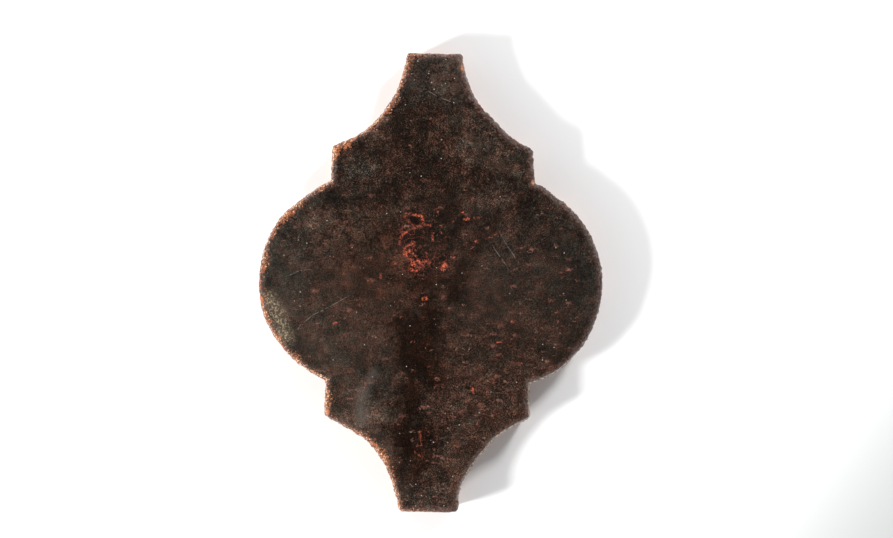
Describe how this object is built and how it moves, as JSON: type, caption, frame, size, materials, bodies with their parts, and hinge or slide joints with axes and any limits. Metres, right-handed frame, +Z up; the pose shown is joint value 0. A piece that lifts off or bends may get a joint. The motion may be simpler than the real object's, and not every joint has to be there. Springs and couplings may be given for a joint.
{
  "type": "glazed wall tile",
  "caption": "Lantern-shaped terracotta wall tile with a dark brown glaze, laid with others like it in an interlocking pattern.",
  "frame": {"origin": "middle of the flat back, which is bedded on the wall", "axes": "+Z up along the tile's long axis, +Y into the wall, the glazed face looks along -Y"},
  "size_m": [0.152, 0.018, 0.203],
  "materials": {
    "glazed_terracotta": "glossy, near-black brown glaze, thin over red-orange clay at the rim and in a crackled patch; bare clay on the sides and back"
  },
  "bodies": {
    "root": {"wall_tile": "glazed_terracotta"}
  },
  "joints": []
}
